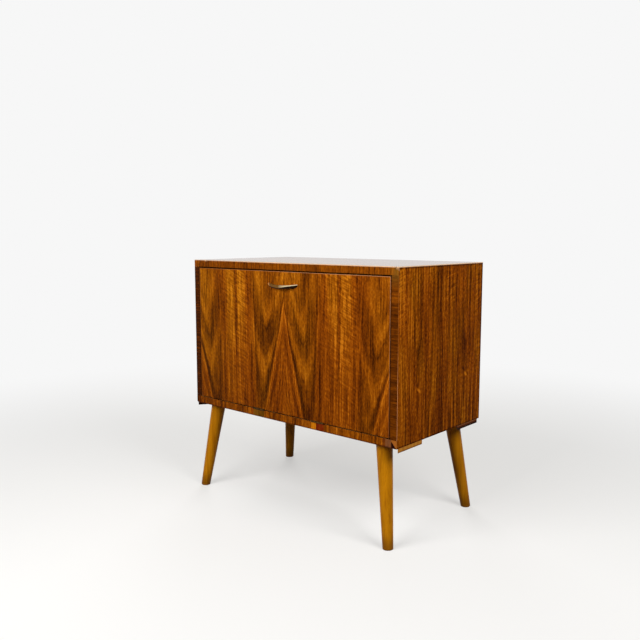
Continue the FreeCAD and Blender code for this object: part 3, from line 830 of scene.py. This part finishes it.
def bottom_strip():
    """Bottom strip with mended pieces of other wood, broken away at its lower right end, with
    painted shade in the break and along its lower edge.
    """
    surface = Surface("bottom_strip", **LACQUER)
    tone = BOTTOM_TONE
    for limits, climb in BOTTOM_CLIMBS:
        tone = tone + surface.x.step(*limits) * climb
    face = strip_face(surface, surface.x, surface.z, tone, BOTTOM_CONTRAST)
    for start, end, colour, cover in MENDS:
        grain = surface.sway((surface.x, surface.z), MEND_CELLS, start * MEND_SEED_SCALE)
        inside = surface.x.band(start, end, MEND_BLUR)
        face = surface.mix(inside * (grain * MEND_GRAIN + cover), face, colour)
    over = surface.z - BASE_Z - (BREAK_END - surface.x) * BREAK_SLOPE
    before, after = BREAK_START_BLUR
    broken = surface.x.step(BREAK_START - before, BREAK_START + after)
    broken = broken * (1 - over.step(*BREAK_EDGE))
    # Painted shade in the break
    face = surface.mix(broken, face, BREAK_SHADE)
    for place in STRIP_SEAMS:
        seam = surface.x.stroke(place, STRIP_SEAM_REACH, STRIP_SEAM_COVER)
        face = surface.mix(seam, face, JOINT_DARK_AND_GAP_SHADE)
    # Painted shade along the lower edge
    low = 1 - (surface.z - BASE_Z).step(*BOTTOM_SHADE_EDGE)
    face = surface.mix(low * BOTTOM_SHADE_COVER, face, JOINT_DARK_AND_GAP_SHADE)
    return finish_strip(surface, face, 1 - surface.z.above(BOTTOM_MIDDLE_Z), BOTTOM_BARE)


# Left strip: tone, and how far clouds change it
LEFT_TONE = 0.05
LEFT_CONTRAST = 0.6


def left_strip():
    """Left strip, dark and brown, as old polish leaves it."""
    surface = Surface("left_strip", **LACQUER)
    face = strip_face(surface, surface.z, surface.x, LEFT_TONE, LEFT_CONTRAST)
    return finish_strip(surface, face, 1 - surface.x.above(-SIDE_MIDDLE_X))


# Right strip: tone, which climbs near the top, its faded upper end, and its arris, paler low down
RIGHT_STRIP_TONE = 0.27
RIGHT_STRIP_CLIMB = 0.12
RIGHT_STRIP_CLIMBS = (0.56, 0.62)
RIGHT_CONTRAST = 0.7
RIGHT_GRAIN = 0.65
RIGHT_BLOT_CELLS = (300, 300)
RIGHT_FADE_WANDER = 0.03
RIGHT_FADE_START = (0.625, 0.665)
RIGHT_FADED = srgb(116, 80, 24)
RIGHT_ARRIS_TURN = (0.36, 0.52)
RIGHT_ARRIS_LOW = srgb(240, 172, 122)
RIGHT_ARRIS_HIGH = srgb(164, 96, 40)


def right_strip():
    """Right strip, dark and reddish, faded at its upper end."""
    surface = Surface("right_strip", **LACQUER)
    tone = surface.z.step(*RIGHT_STRIP_CLIMBS) * RIGHT_STRIP_CLIMB + RIGHT_STRIP_TONE
    face = strip_face(surface, surface.z, surface.x, tone, RIGHT_CONTRAST, RIGHT_GRAIN)
    blot = surface.noise((surface.x, surface.z), RIGHT_BLOT_CELLS)
    faded = (surface.z + (blot - 0.5) * RIGHT_FADE_WANDER).step(*RIGHT_FADE_START)
    face = surface.mix(faded * blot, face, RIGHT_FADED)
    arris = surface.mix(surface.z.step(*RIGHT_ARRIS_TURN), RIGHT_ARRIS_LOW, RIGHT_ARRIS_HIGH)
    return finish_strip(surface, face, surface.x.above(SIDE_MIDDLE_X), arris)


# Edge veneers of the flap, from sound to worn, the pale end also a painted highlight
FLAP_EDGE = (
    (0.2, srgb(120, 62, 20)),
    (0.9, srgb(188, 130, 88)),
)
FLAP_EDGE_CELLS = (200, 30, 200)
FLAP_EDGE_STREAK = 0.6
FLAP_EDGE_RIGHT = (-0.36, 0.3)
FLAP_EDGE_RIGHT_SHARE = 0.45
FLAP_EDGE_UPWARD = 0.6


def flap_edge():
    """Thin edge veneers of the flap, paler than its face, worn bare and given a painted highlight
    towards the right and the top.
    """
    surface = Surface("flap_edge", **LACQUER)
    streak = surface.noise(surface.place, FLAP_EDGE_CELLS, detail=3.0)
    height = surface.z.step(flap_low.z, flap_high.z)
    wear_and_highlight = surface.x.step(*FLAP_EDGE_RIGHT) * FLAP_EDGE_RIGHT_SHARE + streak * FLAP_EDGE_STREAK
    # Paler towards the top: wear and painted highlight
    wear_and_highlight = wear_and_highlight * (height * FLAP_EDGE_UPWARD + (1 - FLAP_EDGE_UPWARD))
    surface.set("Base Color", surface.ramp(wear_and_highlight, FLAP_EDGE))
    return surface.material


# Legs: honey-stained wood, darker at the foot
HONEY = (
    (0.2, srgb(144, 83, 2)),
    (0.5, srgb(183, 116, 4)),
    (0.8, srgb(204, 133, 13)),
)
LEG_STREAK_CELLS = (130, 130, 3.0)
LEG_HAIR_CELLS = (900, 900, 12)
LEG_HAIR_SHARE = 0.4
FOOT_FADE = (0.004, 0.05)
FOOT_COVER = 0.6
FOOT_BROWN = srgb(84, 44, 4)


def leg_wood():
    """Honey-stained wood with its grain along the legs."""
    surface = Surface("leg_wood", Roughness=0.36, Specular_IOR_Level=0.08)
    streak = surface.noise(surface.place, LEG_STREAK_CELLS, **STREAK_NOISE)
    hair = surface.sway(surface.place, LEG_HAIR_CELLS)
    colour = surface.ramp(streak + hair * LEG_HAIR_SHARE, HONEY)
    foot = 1 - surface.z.step(*FOOT_FADE)
    surface.set("Base Color", surface.mix(foot * FOOT_COVER, colour, FOOT_BROWN))
    return surface.material


# Leg plates: clean honey wood at the front right with painted shade along its lower edge, and a
# darker colour on the others, from the lower edge up
PLATE = (
    (0.2, srgb(152, 92, 28)),
    (0.5, srgb(188, 124, 46)),
    (0.8, srgb(206, 146, 66)),
)
DARK_PLATE = (
    (0.0, srgb(34, 15, 6)),
    (0.40, srgb(42, 19, 8)),
    (0.58, srgb(88, 41, 15)),
    (0.82, srgb(98, 48, 20)),
    (0.96, srgb(150, 100, 66)),
)
PLATE_CELLS = (90, 90, 30)
PLATE_LOW = (0.05, 0.40)
PLATE_LOW_WANDER = 0.2
PLATE_LOW_COVER = 0.75
PLATE_LOW_SHADE = srgb(84, 46, 14)
DARK_PLATE_WANDER = 0.15


def plate_wood():
    """Plain oiled wood with painted shade along its lower edge, and darker on the left and at the
    rear.
    """
    surface = Surface("plate_wood", Roughness=0.6, Specular_IOR_Level=0.02)
    rise = (surface.z - plate_low.z) * (1 / PLATE_HEIGHT)
    rough = surface.sway(surface.place, PLATE_CELLS, detail=3.0)
    clean = plain_wood(surface, surface.y, surface.x, PLATE)
    # Painted shade along the lower edge
    low = 1 - (rise + rough * PLATE_LOW_WANDER).step(*PLATE_LOW)
    clean = surface.mix(low * PLATE_LOW_COVER, clean, PLATE_LOW_SHADE)
    # The plates on the left and at the rear are darker, darkest towards the lower edge
    darker_plates = (1 - surface.x.above(0.0)).most(surface.y.above(0.0))
    dark_plate = surface.ramp(rise + rough * DARK_PLATE_WANDER, DARK_PLATE)
    surface.set("Base Color", surface.mix(darker_plates, clean, dark_plate))
    return surface.material


# Brass of the fittings: a bright and a dull colour, and a mean roughness
STAY_BRASS = (srgb(196, 156, 88), srgb(140, 104, 52), 0.42)
HINGE_BRASS = (srgb(78, 52, 20), srgb(40, 24, 9), 0.5)
TARNISH_CELLS = (140, 140, 140)
TARNISH_EDGE = (0.35, 0.7)
TARNISH_ROUGHNESS = 0.2
SCRATCH_CELLS = (90, 1500, 2600)
SCRATCH_ROUGHNESS = 0.15
MEAN_ROUGHENING = 0.17


def brass(name, bright, dull, roughness):
    """Brass with cloudy tarnish and fine scratches."""
    surface = Surface(name, Metallic=1.0)
    cloud = surface.noise(surface.place, TARNISH_CELLS, detail=4.0)
    scratch = surface.noise(surface.place, SCRATCH_CELLS)
    surface.set("Base Color", surface.mix(cloud.step(*TARNISH_EDGE), bright, dull))
    roughening = cloud * TARNISH_ROUGHNESS + scratch * SCRATCH_ROUGHNESS
    surface.set("Roughness", roughening + (roughness - MEAN_ROUGHENING))
    return surface.material


# Handle: places along it run from -1 at its left end to 1 at its right
HANDLE_DROOP = 0.0048
HANDLE_END_RISE = 0.0034
HANDLE_CLOUD_CELLS = (160, 160, 160)
HANDLE_SCRATCH_CELLS = (120, 1800, 2600)
HANDLE_WEAR_AND_HIGHLIGHT_SPAN = (-0.18, 0.52)
HANDLE_WEAR_AND_HIGHLIGHT_WANDER = 0.5
HANDLE_RIGHT_LIFT = 0.0011
HANDLE_LEFT_DROP = 0.0036
HANDLE_SHADE_EDGE = (-0.0002, 0.0012)
HANDLE_SHADE_WANDER = 0.001
HANDLE_LEFT_END = (-0.97, -0.82)
HANDLE_LEFT_REFLECTION = srgb(124, 86, 32)
HANDLE_POLISH_AND_HIGHLIGHT = srgb(242, 226, 184)
HANDLE_TIP_GLINT = srgb(226, 166, 98)
HANDLE_UNDER_SHADE = srgb(34, 18, 8)
HANDLE_ROUGHNESS = 0.48
HANDLE_POLISHING = 0.2
HANDLE_SCRATCHING = 0.12


def handle_brass():
    """Aged brass, polished by hands and with a painted highlight on its upper right, a painted dim
    reflection on its left, a painted glint at its left tip, and painted shade and a painted dark
    reflection below.
    """
    surface = Surface("handle_brass", Metallic=1.0)
    along = (surface.x - HANDLE_MIDDLE_X) * (1 / HANDLE_HALF)
    crest = along * along * HANDLE_DROOP + (handle_high.z - HANDLE_END_RISE - HANDLE_DROOP)
    cloud = surface.sway(surface.place, HANDLE_CLOUD_CELLS, detail=4.0)
    scratch = surface.noise(surface.place, HANDLE_SCRATCH_CELLS)
    # Polish and painted highlight grow towards the right
    wear_and_highlight = (along + cloud * HANDLE_WEAR_AND_HIGHLIGHT_WANDER).step(*HANDLE_WEAR_AND_HIGHLIGHT_SPAN)
    # Line under which the painted shade and dark reflection lie
    shade_line = crest + along.most(0.0) * HANDLE_RIGHT_LIFT - (1 - wear_and_highlight) * HANDLE_LEFT_DROP
    upper = (surface.z - shade_line + cloud * HANDLE_SHADE_WANDER).step(*HANDLE_SHADE_EDGE)
    # Painted dim reflection on the left, polish and painted highlight on the right
    colour = surface.mix(wear_and_highlight, HANDLE_LEFT_REFLECTION, HANDLE_POLISH_AND_HIGHLIGHT)
    # Painted glint at the left tip
    colour = surface.mix(1 - along.step(*HANDLE_LEFT_END), colour, HANDLE_TIP_GLINT)
    # Painted shade and dark reflection below
    surface.set("Base Color", surface.mix(upper, HANDLE_UNDER_SHADE, colour))
    polished = HANDLE_ROUGHNESS - wear_and_highlight * upper * HANDLE_POLISHING
    surface.set("Roughness", polished + scratch * HANDLE_SCRATCHING)
    return surface.material


# Steel, plastic and magnet: cells per metre, two colours, least roughness and what clouds add
STEEL_CELLS = (200, 200, 200)
STEEL = (srgb(168, 168, 166), srgb(206, 205, 200))
STEEL_ROUGHNESS = (0.22, 0.25)
PLASTIC_CELLS = (900, 900, 900)
PLASTIC = (srgb(46, 34, 26), srgb(66, 50, 38))
PLASTIC_ROUGHNESS = (0.4, 0.2)
PLASTIC_RELIEF = 0.0001
MAGNET_CELLS = (1500, 1500, 1500)
MAGNET = (srgb(40, 40, 42), srgb(74, 74, 76))
MAGNET_ROUGHNESS = (0.4, 0.3)
DULL_SPECULAR = 0.4


def cloudy(surface, cells, colours, roughness, detail):
    """Two colours in clouds, and a roughness that the clouds raise; returns the clouds."""
    cloud = surface.noise(surface.place, cells, detail=detail)
    least, share = roughness
    surface.set("Base Color", surface.mix(cloud, *colours))
    surface.set("Roughness", cloud * share + least)
    return cloud


def steel():
    """Zinc-plated steel of screws and the keeper."""
    surface = Surface("steel", Metallic=1.0)
    cloudy(surface, STEEL_CELLS, STEEL, STEEL_ROUGHNESS, detail=3.0)
    return surface.material


def catch_plastic():
    """Dark moulded plastic with a fine grain."""
    surface = Surface("catch_plastic", Specular_IOR_Level=DULL_SPECULAR)
    grain = cloudy(surface, PLASTIC_CELLS, PLASTIC, PLASTIC_ROUGHNESS, detail=2.0)
    surface.bump(grain, PLASTIC_RELIEF)
    return surface.material


def magnet():
    """Dark grey sintered magnet."""
    surface = Surface("magnet", Specular_IOR_Level=DULL_SPECULAR)
    cloudy(surface, MAGNET_CELLS, MAGNET, MAGNET_ROUGHNESS, detail=3.0)
    return surface.material


def paint(material, *names):
    """Gives CAD nodes one material."""
    for name in names:
        mesh = nodes[name].data
        mesh.materials.clear()
        mesh.materials.append(material)


def ending(*ends):
    """Names of the CAD nodes with given ends."""
    return [name for name in nodes if name.endswith(ends)]


def dress():
    """Materials of every CAD node."""
    paint(flap_veneer(), "flap_panel")
    paint(side_veneer(), "left_side_panel", "right_side_panel")
    paint(top_veneer(), "top_panel")
    paint(bottom_veneer(), "bottom_panel")
    paint(top_strip(), "top_edge_veneer")
    paint(bottom_strip(), "bottom_edge_veneer")
    paint(left_strip(), "left_edge_veneer")
    paint(right_strip(), "right_edge_veneer")
    paint(flap_edge(), "flap_top_edge_veneer", "flap_left_edge_veneer", "flap_right_edge_veneer")
    paint(inside_wood(), "shelf", "corner_splines")
    paint(plywood(), "back_panel")
    paint(leg_wood(), *ending("_leg"))
    paint(plate_wood(), *ending("_leg_plate"))
    paint(handle_brass(), "handle")
    paint(
        brass("stay_brass", *STAY_BRASS),
        *ending("_stud", "_rivet", "_bracket", "_arm"),
        "shelf_pins",
        "stay_bracket_screws",
    )
    paint(
        brass("hinge_brass", *HINGE_BRASS),
        *ending("_leaf"),
        "left_hinge_pin",
        "right_hinge_pin",
        "hinge_fixed_leaf_screws",
        "hinge_flap_leaf_screws",
        "leg_plate_screws",
    )
    paint(
        steel(),
        "back_screws",
        "catch_screws",
        "keeper_screws",
        "catch_keeper",
        "leg_dowel_screws",
        "handle_screws",
    )
    paint(catch_plastic(), "catch_case")
    paint(magnet(), "catch_magnet")


# Eased arrises
BOARDS = ("flap_panel", "top_panel", "bottom_panel", "left_side_panel", "right_side_panel")
BOARD_ARRIS = 0.0006
STRIPS = ("top_edge_veneer", "bottom_edge_veneer", "left_edge_veneer", "right_edge_veneer")
STRIP_ARRIS = 0.0005
ARRIS_SEGMENTS = 2
ARRIS_ANGLE = math.radians(40)
WELD_REACH = 1e-6


def soften(names, width):
    """Eases the arrises of CAD boards."""
    for name in names:
        weld = nodes[name].modifiers.new("weld", "WELD")
        weld.merge_threshold = WELD_REACH
        bevel = nodes[name].modifiers.new("arris", "BEVEL")
        bevel.width = width
        bevel.segments = ARRIS_SEGMENTS
        bevel.limit_method = "ANGLE"
        bevel.angle_limit = ARRIS_ANGLE
        bevel.harden_normals = True


# Floor and surroundings: pale to the eye and in reflections, and dim in the light that they throw
# on the object
FLOOR_RADIUS = 14.0
FLOOR_SIDES = 64
FLOOR_COLOUR = (0.80, 0.79, 0.77, 1.0)
FLOOR_GLOW = (0.92, 0.915, 0.90, 1.0)
FLOOR_GLOW_SHARE = 0.52
FLOOR_FADE = (0.5, 2.4)
FLOOR_BOUNCE = (0.10, 0.075, 0.05, 1.0)
WALL_WHITE = (0.93, 0.93, 0.93, 1.0)
WORLD_LIGHT = (1.0, 1.0, 1.0, 1.0)
WORLD_STRENGTH = 0.05


def shown_rays(tree):
    """1 for rays that show a surface to the eye, straight or by a mirror."""
    rays = tree.nodes.new("ShaderNodeLightPath")
    camera, glossy, through = [
        Field(tree, rays.outputs[kind])
        for kind in ("Is Camera Ray", "Is Glossy Ray", "Is Transmission Ray")
    ]
    return camera.most(glossy).most(through)


def blend_shaders(tree, factor, first, second, output):
    """Sends a blend of two shader nodes to an output node."""
    blend = tree.nodes.new("ShaderNodeMixShader")
    plug(tree, blend.inputs[0], factor)
    tree.links.new(first.outputs[0], blend.inputs[1])
    tree.links.new(second.outputs[0], blend.inputs[2])
    tree.links.new(blend.outputs[0], output.inputs["Surface"])


def make_floor():
    """Round pale floor that fades into the white of the surroundings."""
    mesh = bpy.data.meshes.new("floor")
    floor = bpy.data.objects.new("floor", mesh)
    turns = [2 * math.pi * i / FLOOR_SIDES for i in range(FLOOR_SIDES)]
    rim = [(FLOOR_RADIUS * math.cos(turn), FLOOR_RADIUS * math.sin(turn), 0.0) for turn in turns]
    mesh.from_pydata(rim, [], [list(range(FLOOR_SIDES))])
    bpy.context.scene.collection.objects.link(floor)

    surface = Surface("floor", Roughness=0.8, Specular_IOR_Level=0.1)
    tree = surface.tree
    seen = shown_rays(tree)
    surface.set("Base Color", surface.mix(seen, FLOOR_BOUNCE, FLOOR_COLOUR))
    far = (surface.x * surface.x + surface.y * surface.y).root().step(*FLOOR_FADE)
    glow = tree.nodes.new("ShaderNodeEmission")
    plug(tree, glow.inputs["Color"], surface.mix(far, FLOOR_GLOW, WALL_WHITE))
    glowing = (far * (1 - FLOOR_GLOW_SHARE) + FLOOR_GLOW_SHARE) * seen
    blend_shaders(tree, glowing, surface.shader, glow, surface.output)
    mesh.materials.append(surface.material)


def make_world():
    """White surroundings for the eye and for reflections, and a dimmer even light."""
    world = bpy.data.worlds.new("studio")
    bpy.context.scene.world = world
    world.use_nodes = True
    tree = world.node_tree
    tree.nodes.clear()
    light = tree.nodes.new("ShaderNodeBackground")
    light.inputs["Color"].default_value = WORLD_LIGHT
    light.inputs["Strength"].default_value = WORLD_STRENGTH
    white = tree.nodes.new("ShaderNodeBackground")
    white.inputs["Color"].default_value = WALL_WHITE
    blend_shaders(tree, shown_rays(tree), light, white, tree.nodes.new("ShaderNodeOutputWorld"))


# Lamps: place, size and power; all point at the middle of the cabinet
LAMP_TARGET = (0.0, 0.0, 0.45)
FRONT_WINDOW = ((-0.1, -1.6, 1.5), 1.2, 37.5)
RIGHT_WINDOW = ((1.8, -0.3, 1.75), 1.1, 37.5)
REAR_WINDOW = ((-1.7, 1.7, 1.5), 1.2, 32.0)


def area_light(name, at, size, power):
    """Soft square lamp, unseen by the camera."""
    lamp = bpy.data.lights.new(name, "AREA")
    lamp.shape = "SQUARE"
    lamp.size = size
    lamp.energy = power
    holder = bpy.data.objects.new(name, lamp)
    holder.location = at
    holder.rotation_euler = (Vector(LAMP_TARGET) - Vector(at)).to_track_quat("-Z", "Y").to_euler()
    holder.visible_camera = False
    bpy.context.scene.collection.objects.link(holder)
    return holder


def make_lights():
    """Soft windows in front, at the right and at the rear."""
    area_light("front_window", *FRONT_WINDOW)
    area_light("right_window", *RIGHT_WINDOW)
    rear = area_light("rear_window", *REAR_WINDOW)
    # The polished top would mirror this lamp towards the camera
    rear.visible_glossy = False


def make_camera():
    """Camera of the photograph."""
    camera = bpy.data.cameras.new("camera")
    camera.sensor_width = SENSOR_MM
    camera.lens = FOCAL_PIXELS / FRAME_PIXELS * SENSOR_MM
    holder = bpy.data.objects.new("camera", camera)
    holder.location = CAMERA_AT
    holder.rotation_euler = (math.pi / 2 - CAMERA_PITCH, 0.0, CAMERA_YAW)
    bpy.context.scene.collection.objects.link(holder)
    bpy.context.scene.camera = holder


dress()
soften(BOARDS, BOARD_ARRIS)
soften(STRIPS, STRIP_ARRIS)
make_floor()
make_world()
make_lights()
make_camera()
bpy.context.scene.view_settings.view_transform = "Standard"
